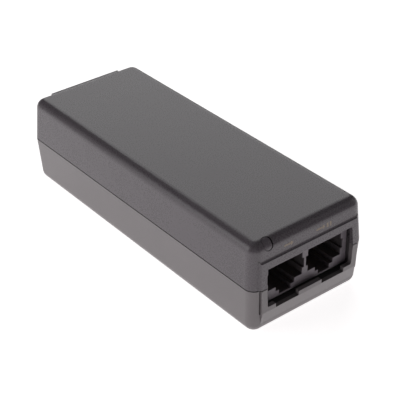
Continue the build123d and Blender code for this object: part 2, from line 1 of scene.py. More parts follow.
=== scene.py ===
# %% [markdown]
# # A PoE injector, finished in Blender
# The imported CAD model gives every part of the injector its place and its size. This lesson
# adds what the CAD does not hold: the finish of each part, the fine wires and turns that
# are too small to draw by hand, the printed marks, and a small studio to look at it in.
# Everything is in metres. The ports face -Y, the mains inlet faces +Y and Z is up.

import math

import bmesh
import bpy
from mathutils import Matrix, Vector


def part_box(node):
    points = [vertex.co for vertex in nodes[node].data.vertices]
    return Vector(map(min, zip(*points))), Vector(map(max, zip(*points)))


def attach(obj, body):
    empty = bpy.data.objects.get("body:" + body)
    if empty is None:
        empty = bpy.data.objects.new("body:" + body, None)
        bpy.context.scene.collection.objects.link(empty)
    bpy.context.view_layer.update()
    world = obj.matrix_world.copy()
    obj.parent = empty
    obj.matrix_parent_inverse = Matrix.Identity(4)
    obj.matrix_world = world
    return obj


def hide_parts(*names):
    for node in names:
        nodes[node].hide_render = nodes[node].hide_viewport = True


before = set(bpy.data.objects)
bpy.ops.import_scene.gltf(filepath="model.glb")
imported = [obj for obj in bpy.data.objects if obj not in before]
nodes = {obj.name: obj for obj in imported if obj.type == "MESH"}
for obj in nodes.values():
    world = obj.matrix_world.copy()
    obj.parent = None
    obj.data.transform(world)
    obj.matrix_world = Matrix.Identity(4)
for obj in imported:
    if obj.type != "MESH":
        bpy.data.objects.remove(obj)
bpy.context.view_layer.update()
MM = 0.001
case_low, case_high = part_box("top_shell")
print("parts in the model:", len(nodes))
print("top shell, millimetres:", [round(v / MM, 1) for v in case_high - case_low])

# %% [markdown]
# ## A small language for finishes
# A finish in Blender is a graph of nodes. Drawn by hand, a sum of two masks is a box with
# two wires. Written in Python it can be `a + b`, if a small class wraps the socket at the
# end of a wire and answers to `+`, `-`, `*` and `/` by adding the box itself. The reflected
# forms make `1 - mask` work too. Every other node comes from one method, `node`, which
# takes the node's type, its settings and what goes into its sockets.


# %% Numbers on a wire
class Value:
    """The output of a node. Arithmetic on it adds Math nodes to the same tree."""

    def __init__(self, graph, socket):
        self.graph = graph
        self.socket = socket

    def maths(self, operation, *values):
        return self.graph.node("ShaderNodeMath", {"operation": operation},
                               dict(enumerate(values)))

    def __add__(self, other):
        return self.maths("ADD", self, other)

    def __sub__(self, other):
        return self.maths("SUBTRACT", self, other)

    def __rsub__(self, other):
        return self.maths("SUBTRACT", other, self)

    def __mul__(self, other):
        return self.maths("MULTIPLY", self, other)

    def __truediv__(self, other):
        return self.maths("DIVIDE", self, other)

    def __gt__(self, other):
        return self.maths("GREATER_THAN", self, other)

    def __lt__(self, other):
        return self.maths("LESS_THAN", self, other)

    def __abs__(self):
        return self.maths("ABSOLUTE", self)

    __radd__ = __add__
    __rmul__ = __mul__


class Graph:
    """A node tree that grows one expression at a time."""

    def __init__(self, tree):
        self.tree = tree
        tree.nodes.clear()

    def node(self, kind, settings=None, inputs=None, output=0):
        """Adds a node: its type, its settings, then the values and wires of its sockets."""
        made = self.tree.nodes.new(kind)
        for name, value in (settings or {}).items():
            setattr(made, name, value)
        for name, value in (inputs or {}).items():
            if isinstance(value, Value):
                self.tree.links.new(value.socket, made.inputs[name])
            else:
                made.inputs[name].default_value = value
        return Value(self, made.outputs[output]) if len(made.outputs) else None


print("wires answer to + - * / < >")

# %% [markdown]
# ## What every finish is made of
# A moulded, plated or painted surface never has one exact colour. Broad clouds of slightly
# different shade come from the way the plastic flowed or the metal was plated, and a fine
# grain, a fraction of a millimetre wide, scatters the shine. `Finish` holds those moves, so
# that each material below is only a few lines that say what is particular to it.


# %% The moves that the finishes share
class Finish(Graph):
    """A material: a graph that ends in one Principled surface."""

    def __init__(self, name):
        self.material = bpy.data.materials.new(name)
        self.material.use_nodes = True
        super().__init__(self.material.node_tree)
        self.place = self.node("ShaderNodeTexCoord", output=3)
        self.across, self.along, self.up = (
            self.node("ShaderNodeSeparateXYZ", {}, {0: self.place}, output=i) for i in range(3))

    def noise(self, size, detail=2.0, place=None):
        """Soft random values round 0.5, in lumps about `size` metres wide."""
        return self.node("ShaderNodeTexNoise", {}, {
            "Vector": place or self.place, "Scale": 1 / size, "Detail": detail})

    def stretched(self, x, y, z):
        """The place on the part, squeezed along each axis, for grain with a direction."""
        return self.node("ShaderNodeMapping", {}, {"Vector": self.place, "Scale": (x, y, z)})

    def span(self, value, low, high, start=0.0, stop=1.0):
        """Carries a value from start..stop over to low..high, held within those ends."""
        return self.node("ShaderNodeMapRange", {"clamp": True}, {
            "Value": value, "From Min": start, "From Max": stop,
            "To Min": low, "To Max": high})

    def mix(self, factor, first, second):
        """A colour between two colours."""
        one, two = (c if isinstance(c, Value) else (*c, 1) for c in (first, second))
        return self.node("ShaderNodeMix", {"data_type": "RGBA"},
                         {0: factor, 6: one, 7: two}, output=2)

    def bump(self, height, depth):
        """A normal that follows a height map whose full range is `depth` metres."""
        return self.node("ShaderNodeBump", {}, {"Height": height, "Distance": depth})

    def surface(self, **sockets):
        """Closes the finish and hands over the material."""
        surface = self.node("ShaderNodeBsdfPrincipled", {}, {
            name.replace("_", " "): value for name, value in sockets.items()})
        self.node("ShaderNodeOutputMaterial", {}, {"Surface": surface})
        return self.material


def shade(colour, amount):
    """The same colour, lighter (above 1) or darker (below 1)."""
    return tuple(min(1.0, channel * amount) for channel in colour)


print("a finish starts from the place on the part, in metres")

# %% [markdown]
# ## The case plastic
# The case is injection-moulded in a dark grey polycarbonate blend. The mould was eroded by
# sparks, which leaves a satin skin of tiny pits about a third of a millimetre apart. Three
# sizes of noise make it: a broad drift in the shade, a fine mottle in the roughness, and
# the pits themselves as a bump only a few micrometres deep. The walls that show through
# the openings get painted shade: a mask on the place makes them dark.


# %% Moulded plastic
def moulded(name, colour, rough=(0.24, 0.32), pit=0.35 * MM, depth=0.0022 * MM,
            drift=0.12, shadow=None):
    """Pitted plastic, with painted shade wherever `shadow` says so."""
    finish = Finish(name)
    flow = finish.noise(14 * MM, 3.0)
    speck = finish.noise(pit, 1.0)
    tone = finish.mix(flow, shade(colour, 1 - drift), shade(colour, 1 + drift))
    tone = finish.mix(finish.span(speck, 0.0, 0.3, 0.55, 0.75), tone, shade(colour, 1.15))
    if shadow:
        tone = finish.mix(shadow(finish), tone, shade(colour, 0.25))
    return finish.surface(
        Base_Color=tone,
        Roughness=finish.span(speck * 0.6 + flow * 0.4, *rough, 0.3, 0.7),
        Normal=finish.bump(speck, depth))


# Where painted shade darkens the walls behind the openings
OPENING_HALF_W = 15.7 * MM                  # a box round the openings of both ends
OPENING_LOW, OPENING_HIGH = 7.0 * MM, 24.8 * MM
SKIN = 1.3 * MM                             # how far back from the end faces it starts
WINDOW = Vector((-13.75, -51.1, 26.6)) * MM     # where the window turns the corner
# Radius of the painted shadow round the window of the light pipe
WINDOW_GAP_R = 1.52 * MM


def painted_recess_shade(finish):
    """Painted shade on the walls behind the openings: darker than the skin."""
    return ((abs(finish.across) < OPENING_HALF_W) * (abs(finish.along) < case_high.y - SKIN)
            * (finish.up > OPENING_LOW) * (finish.up < OPENING_HIGH))


def painted_recess_and_window_gap_shade(finish):
    """The same painted shade, and a painted shadow in the thin gap round the window of the light
    pipe.
    """
    aside = finish.across - WINDOW.x
    behind, below = (v.maths("MAXIMUM", v, 0.0)
                     for v in (finish.along - WINDOW.y, WINDOW.z - finish.up))
    gap = aside * aside + behind * behind + below * below < WINDOW_GAP_R ** 2
    return gap.maths("MAXIMUM", gap, painted_recess_shade(finish))


CASE_GREY = (0.105, 0.090, 0.102)
# Painted shade behind the openings and a painted shadow round the window go into the case's
# colour.
case_plastic = moulded("case_plastic", CASE_GREY, shadow=painted_recess_and_window_gap_shade)
BASE_GREY = (0.178, 0.159, 0.166)
# Painted shade on the walls behind the openings goes into the base's colour too.
base_plastic = moulded("base_plastic", BASE_GREY, rough=(0.30, 0.40), shadow=painted_recess_shade)


def jack_moulding_with_painted_shade():
    """Case-coloured on its face, and nearly black inside, where a plug goes: painted shade that
    darkens with depth.
    """
    finish = Finish("jack_plastic")
    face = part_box("jack_housing")[0].y
    # Painted shade: the colour goes nearly black from 0.1 to 0.5 mm behind the face.
    depth = finish.span(finish.along, 0.0, 1.0, face + 0.1 * MM, face + 0.5 * MM)
    speck = finish.noise(0.5 * MM, 1.0)
    tone = finish.mix(depth, shade(CASE_GREY, 1.5), (0.060, 0.052, 0.055))
    tone = finish.mix(speck * 0.3, tone, shade(CASE_GREY, 0.7))
    return finish.surface(Base_Color=tone, Roughness=finish.span(speck, 0.34, 0.44, 0.3, 0.7),
                          Normal=finish.bump(speck, 0.003 * MM))


light_pipe_plastic = moulded("light_pipe_plastic", shade(CASE_GREY, 1.15), rough=(0.22, 0.30))
jack_plastic = jack_moulding_with_painted_shade()
inlet_plastic = moulded("inlet_plastic", (0.022, 0.022, 0.023), rough=(0.30, 0.42),
                        pit=0.6 * MM, depth=0.003 * MM)
carrier_plastic = moulded("carrier_plastic", (0.030, 0.030, 0.031), rough=(0.4, 0.5))
package_resin = moulded("package_resin", (0.020, 0.020, 0.021), rough=(0.5, 0.62),
                        pit=0.2 * MM)
print("plastics:", 7)

# %% [markdown]
# ## Metals
# Contacts and pins are copper alloy under a thin plating: gold on the springs of the jacks,
# nickel on the mains pins. Plating copies the drawn wire below it, so the
# roughness runs in streaks along the wire, and the tone clouds where hands and heat
# have been. One recipe serves all of them, with the colour and the streak as its inputs.


# %% Plated and bare metal
def metal(name, colour, rough, streak=(1, 1, 1), size=0.5 * MM):
    """Metal whose shine is streaked along the axes where `streak` is small."""
    finish = Finish(name)
    draw = finish.noise(size, 3.0, finish.stretched(*streak))
    cloud = finish.noise(4 * MM, 2.0)
    tone = finish.mix(cloud, shade(colour, 0.82), shade(colour, 1.08))
    return finish.surface(
        Base_Color=tone, Metallic=1.0,
        Roughness=finish.span(draw * 0.7 + cloud * 0.3, *rough, 0.3, 0.7),
        Normal=finish.bump(draw, 0.002 * MM))


gold_plating = metal("gold_plating", (0.83, 0.60, 0.26), (0.18, 0.30), (1, 0.1, 0.1))
nickel_plating = metal("nickel_plating", (0.62, 0.59, 0.54), (0.20, 0.32), (1, 0.08, 1))
solder = metal("solder", (0.66, 0.67, 0.68), (0.16, 0.30), size=0.8 * MM)
heatsink_aluminium = metal("heatsink_aluminium", (0.70, 0.71, 0.72), (0.30, 0.42),
                           (0.06, 1, 1), 0.3 * MM)
screw_steel = metal("screw_steel", (0.52, 0.51, 0.49), (0.25, 0.40))
print("metals:", 5)

# %% [markdown]
# ## The inside of the power supply
# Under the case sits a circuit board with a mains half and a low-voltage half. Its parts are
# easy to tell apart by finish alone: green resist over woven glass, black ferrite with a
# sandy fracture, lacquered copper, yellow polyester tape, dipped ceramic discs with a
# waxy shine, and cans in a shrunk printed sleeve. The label underneath is left blank but
# for its printed border.


# %% Board, ferrite, copper, tape and sleeves
def board_resist():
    """Solder resist over the weave of the glass cloth, with the tracks showing under it."""
    finish = Finish("board_resist")
    threads = [finish.node("ShaderNodeTexWave", {"bands_direction": way},
                           {"Vector": finish.place, "Scale": 0.5 / MM}) for way in "XY"]
    weave = (threads[0] + threads[1]) * 0.5
    gap = finish.node("ShaderNodeTexVoronoi", {"feature": "DISTANCE_TO_EDGE"}, {
        "Vector": finish.place, "Scale": 1 / (7 * MM), "Randomness": 0.75})
    copper = finish.span(gap, 0.0, 1.0, 0.06, 0.09)
    green = finish.mix(weave, (0.010, 0.070, 0.028), (0.013, 0.086, 0.035))
    tone = finish.mix(copper, green, (0.022, 0.125, 0.050))
    return finish.surface(Base_Color=tone, Roughness=finish.span(weave, 0.26, 0.36),
                          Normal=finish.bump(copper + weave * 0.1, 0.03 * MM))


def grainy(name, colour, rough, size, depth, **fixed):
    """Ferrite, dipped ceramic, tape and film: one colour that drifts, darker to lighter."""
    finish = Finish(name)
    grain = finish.noise(size, 4.0)
    cloud = finish.noise(5 * MM, 2.0)
    tone = finish.mix(grain * 0.5 + cloud * 0.5, shade(colour, 0.8), shade(colour, 1.2))
    return finish.surface(Base_Color=tone, Roughness=finish.span(grain, *rough, 0.3, 0.7),
                          Normal=finish.bump(grain, depth), **fixed)


def sleeve(name, colour, stripe):
    """A shrunk plastic sleeve with a pale polarity stripe down one side of a lying can."""
    finish = Finish(name)
    cloud = finish.noise(6 * MM)
    base = finish.mix(cloud, shade(colour, 0.85), shade(colour, 1.15))
    low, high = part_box("bulk_capacitor")
    stripe_z = (low.z + high.z) / 2 + 0.5 * MM
    mark = abs(finish.up - stripe_z) < 1.1 * MM
    return finish.surface(Base_Color=finish.mix(mark, base, stripe),
                          Roughness=finish.span(cloud, 0.24, 0.34),
                          Normal=finish.bump(finish.noise(1.2 * MM), 0.01 * MM))


LABEL_MARGIN, LABEL_LINE = 1.2 * MM, 0.3 * MM
LABEL_RULE_Y = 18 * MM


def label():
    """Silver film with a dark printed border and one rule across, and nothing written."""
    finish = Finish("label_film")
    low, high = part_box("rating_label")
    edge_x, edge_y = (side / 2 - LABEL_MARGIN for side in (high - low)[:2])
    aside, ahead = abs(finish.across), abs(finish.along)
    within = (aside < edge_x) * (ahead < edge_y)
    core = (aside < edge_x - LABEL_LINE) * (ahead < edge_y - LABEL_LINE)
    rule = (abs(finish.along - LABEL_RULE_Y) < LABEL_LINE / 2) * core
    film = finish.noise(0.3 * MM, 2.0)
    silver = finish.mix(film, (0.50, 0.50, 0.49), (0.58, 0.58, 0.57))
    tone = finish.mix(within - core + rule, silver, (0.06, 0.06, 0.06))
    return finish.surface(Base_Color=tone, Metallic=0.3, Roughness=finish.span(film, 0.36, 0.46),
                          Normal=finish.bump(film, 0.004 * MM))


resist = board_resist()
label_film = label()
ferrite = grainy("ferrite", (0.035, 0.034, 0.036), (0.55, 0.75), 0.15 * MM, 0.03 * MM)
copper_wire = grainy("copper_wire", (0.62, 0.22, 0.075), (0.20, 0.32), 0.4 * MM, 0.002 * MM,
                     Metallic=1.0, Coat_Weight=0.3, Coat_Roughness=0.2)
yellow_tape = grainy("yellow_tape", (0.72, 0.50, 0.06), (0.22, 0.34), 1.6 * MM, 0.02 * MM)
disc_blue = grainy("disc_blue", (0.035, 0.10, 0.32), (0.26, 0.40), 0.8 * MM, 0.03 * MM)
disc_green = grainy("disc_green", (0.05, 0.11, 0.06), (0.30, 0.45), 0.8 * MM, 0.03 * MM)
film_box = grainy("film_box", (0.66, 0.52, 0.14), (0.34, 0.46), 0.5 * MM, 0.008 * MM)
bobbin_nylon = grainy("bobbin_nylon", (0.10, 0.09, 0.08), (0.42, 0.55), 0.5 * MM, 0.006 * MM)
sheet_film = grainy("sheet_film", (0.70, 0.68, 0.62), (0.30, 0.42), 3.0 * MM, 0.01 * MM)
fuse_body = grainy("fuse_body", (0.060, 0.050, 0.045), (0.34, 0.46), 0.5 * MM, 0.006 * MM)
can_sleeve = sleeve("can_sleeve", (0.020, 0.024, 0.050), (0.55, 0.56, 0.60))
small_sleeve = grainy("small_sleeve", (0.025, 0.060, 0.040), (0.26, 0.36), 1.2 * MM, 0.01 * MM)
led_resin = grainy("led_resin", (0.75, 0.78, 0.72), (0.10, 0.20), 0.8 * MM, 0.002 * MM,
                   Transmission_Weight=0.5)
print("materials so far, the CAD model's own included:", len(bpy.data.materials))

# %% [markdown]
# ## A finish for every part
# The CAD parts keep their shape. A material can sit in a slot of the mesh or in a slot of
# the object that shows the mesh, and here only the object's slot is filled, so that the
# mesh from CAD stays as it was packed.

# %% Give each part its finish
FINISHES = {
    case_plastic: ["top_shell"],
    light_pipe_plastic: ["light_pipe"],
    base_plastic: ["bottom_shell"],
    jack_plastic: ["jack_housing"],
    inlet_plastic: ["inlet_housing"],
    carrier_plastic: ["data_port_carrier", "power_port_carrier"],
    gold_plating: ["data_port_contacts", "power_port_contacts"],
    nickel_plating: ["live_pin", "neutral_pin", "earth_pin"],
    label_film: ["rating_label"],
    resist: ["circuit_board"],
    sheet_film: ["insulation_sheet"],
    fuse_body: ["fuse"],
    disc_blue: ["varistor", "safety_capacitor"],
    disc_green: ["inrush_thermistor", "choke_core"],
    film_box: ["suppression_capacitor"],
    ferrite: ["transformer_core", "output_inductor"],
    copper_wire: ["choke_windings"],
    yellow_tape: ["transformer_winding"],
    bobbin_nylon: ["transformer_bobbin"],
    package_resin: ["bridge_rectifier", "switching_transistor", "output_rectifier",
                    "optocoupler", "data_transformer", "power_controller",
                    "surge_suppressors"],
    can_sleeve: ["bulk_capacitor"],
    small_sleeve: ["output_capacitors"],
    heatsink_aluminium: ["primary_heatsink", "secondary_heatsink"],
    screw_steel: ["heatsink_screws"],
    led_resin: ["status_led"],
}
for finish, parts in FINISHES.items():
    for part in parts:
        material_slot = nodes[part].material_slots[0]
        material_slot.link = "OBJECT"
        material_slot.material = finish
plain = set(nodes) - {part for parts in FINISHES.values() for part in parts}
print("parts finished:", len(nodes) - len(plain), "left over:", sorted(plain))

# %% [markdown]
# ## Recipes for what repeats
# Sixteen contact wires, eighteen turns of copper and some fifty solder joints are each one
# shape repeated by a rule. Geometry Nodes hold the rule: named inputs give the sizes, the
# tree repeats the shape, and its last nodes turn the copies into real mesh, shade it and
# give it its finish. The result is kept as a plain mesh, so nothing is left to compute.


# %% A recipe, and how it is run
class Recipe(Graph):
    """A Geometry Nodes tree with named inputs."""

    KINDS = {int: "NodeSocketInt", float: "NodeSocketFloat", tuple: "NodeSocketVector"}

    def __init__(self, name, **examples):
        super().__init__(bpy.data.node_groups.new(name, "GeometryNodeTree"))
        face = self.tree.interface
        face.new_socket("Geometry", in_out="INPUT", socket_type="NodeSocketGeometry")
        self.keys = {
            label: face.new_socket(label, in_out="INPUT",
                                   socket_type=self.KINDS[type(value)]).identifier
            for label, value in examples.items()}
        face.new_socket("Geometry", in_out="OUTPUT", socket_type="NodeSocketGeometry")
        self.entry = self.tree.nodes.new("NodeGroupInput")
        self.seed = self.given("Geometry")
        self.examples = examples

    def given(self, label):
        """The value that one of the named inputs brings in."""
        return Value(self, self.entry.outputs[label])

    def wire(self, line, radius, corners=10):
        """A round wire along a curve, closed at its ends."""
        ring = self.node("GeometryNodeCurvePrimitiveCircle", {},
                         {"Resolution": corners, "Radius": radius})
        return self.node("GeometryNodeCurveToMesh", {},
                         {"Curve": line, "Profile Curve": ring, "Fill Caps": True})

    def close(self, shapes, material, round_shape=True):
        """Ends the recipe: copies made real, shaded and given their finish."""
        self.finish = material
        real = self.node("GeometryNodeRealizeInstances", {}, {"Geometry": shapes})
        smooth = self.node("GeometryNodeSetShadeSmooth", {}, {
            "Geometry": real, "Shade Smooth": round_shape})
        done = self.node("GeometryNodeSetMaterial", {},
                         {"Geometry": smooth, "Material": material})
        self.node("NodeGroupOutput", {}, {"Geometry": done})

    def run(self, name, points, edges=(), finish=None, **values):
        """Feeds the recipe a few points or lines, and keeps what it makes as a mesh.

        The mesh gets one material slot, with the recipe's own finish or another one.
        """
        start = bpy.data.meshes.new(name + "_start")
        start.from_pydata(points, edges, [])
        holder = bpy.data.objects.new(name + "_start", start)
        bpy.context.scene.collection.objects.link(holder)
        modifier = holder.modifiers.new("recipe", "NODES")
        modifier.node_group = self.tree
        for label, value in {**self.examples, **values}.items():
            modifier[self.keys[label]] = value
        graph = bpy.context.evaluated_depsgraph_get()
        mesh = bpy.data.meshes.new_from_object(holder.evaluated_get(graph), depsgraph=graph)
        holder.modifiers.remove(modifier)
        bpy.data.objects.remove(holder)
        mesh.materials.clear()
        mesh.materials.append(finish or self.finish)
        mesh.polygons.foreach_set("material_index", [0] * len(mesh.polygons))
        piece = bpy.data.objects.new(name, mesh)
        mesh.name = name
        bpy.context.scene.collection.objects.link(piece)
        print(name, "faces:", len(mesh.polygons))
        return piece


def keep(piece, slot, *replaced):
    """Hangs a finished piece on the one body, in the place of CAD parts if it has any."""
    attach(piece, "root")
    if replaced:
        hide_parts(*replaced)
    return piece


def path_edges(points):
    """The edges that join a list of points in order."""
    return [(i, i + 1) for i in range(len(points) - 1)]


# %% [markdown]
# ## The contact wires
# Each jack has eight springy wires. A real one is drawn round, gold plated and bent three
# times: up from the board, forward along the roof, and back down into the hollow where the
# plug's blades press on it. The recipe rounds the corners of one bent line, gives it a
# thickness, and repeats it along a row.

# %% Eight wires, twice
contacts = Recipe("contact_row", Count=8, Pitch=1.02 * MM, Radius=0.2 * MM, Bend=0.45 * MM)
line = contacts.node("GeometryNodeMeshToCurve", {}, {"Mesh": contacts.seed})
line = contacts.node("GeometryNodeFilletCurve", {"mode": "POLY"}, {
    "Curve": line, "Radius": contacts.given("Bend"), "Count": 5})
offset = contacts.node("ShaderNodeCombineXYZ", {}, {"X": contacts.given("Pitch")})
first = contacts.node("ShaderNodeCombineXYZ", {}, {
    "X": contacts.given("Pitch") * (contacts.given("Count") - 1) * -0.5})
row = contacts.node("GeometryNodeMeshLine", {}, {
    "Count": contacts.given("Count"), "Start Location": first, "Offset": offset})
wires = contacts.node("GeometryNodeInstanceOnPoints", {}, {
    "Points": row, "Instance": contacts.wire(line, contacts.given("Radius"))})
contacts.close(wires, gold_plating)

PRESS_TIP, ROOF_FRONT, ROOF_REAR = (-42.7, 16.0), (-48.9, 18.45), (-38.0, 19.1)   # y, z
for port in ("data_port", "power_port"):
    low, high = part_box(port + "_contacts")
    middle = (low.x + high.x) / 2
    bends = [(middle, y * MM, z * MM) for y, z in (PRESS_TIP, ROOF_FRONT, ROOF_REAR)]
    bends.append((middle, ROOF_REAR[0] * MM, low.z))
    keep(contacts.run(port + "_springs", bends, path_edges(bends)), "gold_plate",
         port + "_contacts")

# %% [markdown]
# ## The common-mode choke
# A choke is a ferrite ring with two coils. On the real one each turn is pushed through the
# ring by hand and pulled tight, so it hugs the ring as a rounded rectangle. One turn is
# drawn once; the recipe turns copies of it round the ring's axis, evenly.

# %% Turns of copper round the ring
ring_low, ring_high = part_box("choke_core")
ring_middle = (ring_low + ring_high) / 2
RING_OUT, RING_IN = (ring_high.x - ring_low.x) / 2, 3.2 * MM
RING_DEEP = (ring_high.y - ring_low.y) / 2
WIRE = 0.36 * MM
TURNS, TURN_STEP = 9, math.radians(14.5)
COIL_STARTS = (-math.radians(58), math.radians(122))
LEG_X, LEG_Y = 3.6 * MM, 3.2 * MM
LEG_TOP = -4 * MM                           # from the middle of the ring

coil = Recipe("coil", Turns=TURNS, Start=0.0, Step=TURN_STEP, Radius=WIRE, Bend=0.8 * MM)
turn = coil.node("GeometryNodeMeshToCurve", {}, {"Mesh": coil.seed})
turn = coil.node("GeometryNodeFilletCurve", {"mode": "POLY"}, {
    "Curve": turn, "Radius": coil.given("Bend"), "Count": 4})
spots = coil.node("GeometryNodeMeshLine", {}, {
    "Count": coil.given("Turns"), "Offset": (0, 0, 0)})
place = coil.node("GeometryNodeInputIndex")
angle = coil.given("Start") + coil.given("Step") * place
turned = coil.node("FunctionNodeAxisAngleToRotation", {}, {"Axis": (0, 1, 0), "Angle": angle})
turns = coil.node("GeometryNodeInstanceOnPoints", {}, {
    "Points": spots, "Instance": coil.wire(turn, coil.given("Radius"), 8), "Rotation": turned})
coil.close(turns, copper_wire)

inner, outer, face = RING_IN - WIRE, RING_OUT + WIRE, RING_DEEP + WIRE
loop = [(inner, -face, 0), (outer, -face, 0), (outer, face, 0), (inner, face, 0)]
loop_edges = path_edges(loop) + [(3, 0)]
coils = [coil.run("coil", loop, loop_edges, Start=start) for start in COIL_STARTS]

# %% [markdown]
# The legs of the coils run straight down from the ring, through the board. They are the
# same wire, so the second recipe is only that: a wire on every line that it is given.

# %% Legs, and one piece of copper
leg = Recipe("leg", Radius=WIRE)
leg.close(leg.wire(leg.node("GeometryNodeMeshToCurve", {}, {"Mesh": leg.seed}),
                   leg.given("Radius")), copper_wire)
low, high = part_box("choke_windings")
leg_points = [(sx * LEG_X, sy * LEG_Y, z) for sx in (-1, 1) for sy in (-1, 1)
              for z in (low.z - ring_middle.z, LEG_TOP)]
legs = leg.run("legs", leg_points, [(i, i + 1) for i in range(0, len(leg_points), 2)])


def joined(name, parts, shift=Vector((0, 0, 0))):
    """One mesh from several, moved to its place."""
    mesh = bmesh.new()
    for part in parts:
        mesh.from_mesh(part.data)
    bmesh.ops.translate(mesh, vec=shift, verts=mesh.verts)
    piece = bpy.data.objects.new(name, bpy.data.meshes.new(name))
    mesh.to_mesh(piece.data)
    piece.data.materials.append(parts[0].data.materials[0])
    mesh.free()
    bpy.context.scene.collection.objects.link(piece)
    for part in parts:
        bpy.data.objects.remove(part)
    return piece


keep(joined("choke_coils", coils + [legs], ring_middle), "copper_wire", "choke_windings")
print("choke turns:", TURNS * len(COIL_STARTS))

# %% [markdown]
# ## Solder joints
# Where a leg comes out under the board, solder climbs it in a hollow cone and wets a round
# pad. The legs' ends are found in the CAD parts themselves, at their lowest level, so the
# joints sit where the legs are. The recipe puts one cone on each.

# %% A cone of solder on every leg
SAME_LEVEL = 0.02 * MM


def leg_ends(level, reach):
    """The middle of each group of CAD points that lie at one level."""
    groups = []
    for name, node in nodes.items():
        if abs(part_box(name)[0].z - level) > SAME_LEVEL:
            continue
        for vertex in node.data.vertices:
            if vertex.co.z > level + SAME_LEVEL:
                continue
            near = [g for g in groups if (g[0] - vertex.co).length < reach]
            if near:
                near[0].append(vertex.co)
            else:
                groups.append([vertex.co])
    return [Vector(map(lambda *axis: (min(axis) + max(axis)) / 2, *group)) for group in groups]


under_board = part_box("circuit_board")[0].z
JACK_LEGS_Y = -37 * MM                      # the thin legs of the jacks are in front of this
LEG_REACH, JACK_LEG_REACH = 1.5 * MM, 0.6 * MM
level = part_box("fuse")[0].z
coarse = [e for e in leg_ends(level, LEG_REACH) if e.y >= JACK_LEGS_Y]
fine = [e for e in leg_ends(level, JACK_LEG_REACH) if e.y < JACK_LEGS_Y]

joint = Recipe("joint", Pad=0.95 * MM, Tip=0.42 * MM, Height=0.9 * MM)
cone = joint.node("GeometryNodeMeshCone", {}, {
    "Vertices": 16, "Side Segments": 5, "Radius Top": joint.given("Pad"),
    "Radius Bottom": joint.given("Tip"), "Depth": joint.given("Height")})
spot = joint.node("GeometryNodeInputPosition")
rise = joint.node("ShaderNodeSeparateXYZ", {}, {0: spot}, output=2) / joint.given("Height")
HOLLOW = 1.3                                # how far the cone's side is drawn in
hollow = 1 - rise * (1 - rise) * HOLLOW
narrow = joint.node("ShaderNodeCombineXYZ", {}, {"X": hollow, "Y": hollow, "Z": 1.0})
cone = joint.node("GeometryNodeSetPosition", {}, {
    "Geometry": cone, "Position": joint.node(
        "ShaderNodeVectorMath", {"operation": "MULTIPLY"}, {0: spot, 1: narrow})})
joint.close(joint.node("GeometryNodeInstanceOnPoints", {}, {
    "Points": joint.seed, "Instance": cone}), solder)


def joints(name, spots, **sizes):
    """One joint under the board at each spot."""
    height = sizes.get("Height", 0.9 * MM)
    return joint.run(name, [(s.x, s.y, under_board - height) for s in spots], **sizes)


keep(joints("solder_joints", coarse), "screw_steel")
keep(joints("fine_solder_joints", fine, Pad=0.46 * MM, Tip=0.26 * MM, Height=0.6 * MM),
     "screw_steel")
print("joints:", len(coarse), "coarse,", len(fine), "fine")

# %% [markdown]
# ## Small chips under the board
# The small resistors and capacitors are soldered straight to tracks on the underside. Each
# is a ceramic brick with a bright cap at each end. One recipe makes the bricks and the same
# recipe, with other sizes, makes the caps.

# %% Bricks and caps
CHIP_SIZE = (1.2 * MM, 1.25 * MM, 0.55 * MM)
CAP_SIZE = (0.42 * MM, 1.3 * MM, 0.58 * MM)
CAP_X = 0.8                                 # millimetres from the middle of a chip
brick = Recipe("brick", Size=CHIP_SIZE)
box_mesh = brick.node("GeometryNodeMeshCube", {}, {"Size": brick.given("Size")})
bricks = brick.node("GeometryNodeInstanceOnPoints", {}, {
    "Points": brick.seed, "Instance": box_mesh})
brick.close(bricks, package_resin, round_shape=False)

CHIP_SPOTS = [(x, y) for y in (-33.0, -5.5, 1.5) for x in (-6.5, -2.5, 1.5, 5.5, 9.5)]
CHIP_Z = under_board - CAP_SIZE[2] / 2
keep(brick.run("chip_bodies", [(x * MM, y * MM, CHIP_Z) for x, y in CHIP_SPOTS]),
     "component_black")
caps = brick.run("chip_caps", [((x + side * CAP_X) * MM, y * MM, CHIP_Z)
                               for x, y in CHIP_SPOTS for side in (-1, 1)],
                 finish=solder, Size=CAP_SIZE)
keep(caps, "screw_steel")
print("chips:", len(CHIP_SPOTS))

# %% [markdown]
# ## The printed marks
# Above each jack a small mark is pad-printed in pale gold ink, two hundredths of a
# millimetre thick. Plain arrows are used here: one arrow over the data jack, and an
# arrow with two bars over the power jack. The print lies on a face that leans back a
# little, so each outline is drawn flat, given its thickness, and then tilted.


# %% Arrows in pale ink
def ink():
    """Thin ink, worn where the pits of the plastic stand through it."""
    finish = Finish("print_ink")
    worn = finish.span(finish.noise(0.28 * MM, 2.0), 0.25, 0.75, 0.35, 0.65)
    return finish.surface(
        Base_Color=finish.mix(worn, CASE_GREY, (0.36, 0.27, 0.17)),
        Roughness=finish.span(worn, 0.35, 0.5), Normal=finish.bump(worn, 0.004 * MM))


print_ink = ink()
WALL_LEAN = math.atan(0.88 / 13.5)          # the top shell's draft, over its height
FRONT_AT_PARTING = -53.0 * MM
PARTING_Z = 14.5 * MM
INK_THICK = 0.02 * MM
MARK_Z = 24.4 * MM


def arrow(x, length, half=0.26, head=0.72, head_length=0.9):
    """An arrow from x to x + length, in millimetres, as an outline round its middle line."""
    neck = x + length - head_length
    return [(x, -half), (neck, -half), (neck, -head), (x + length, 0), (neck, head),
            (neck, half), (x, half)]


def bar(x, width, half=0.66):
    """An upright bar from x to x + width, in millimetres."""
    return [(x, -half), (x + width, -half), (x + width, half), (x, half)]


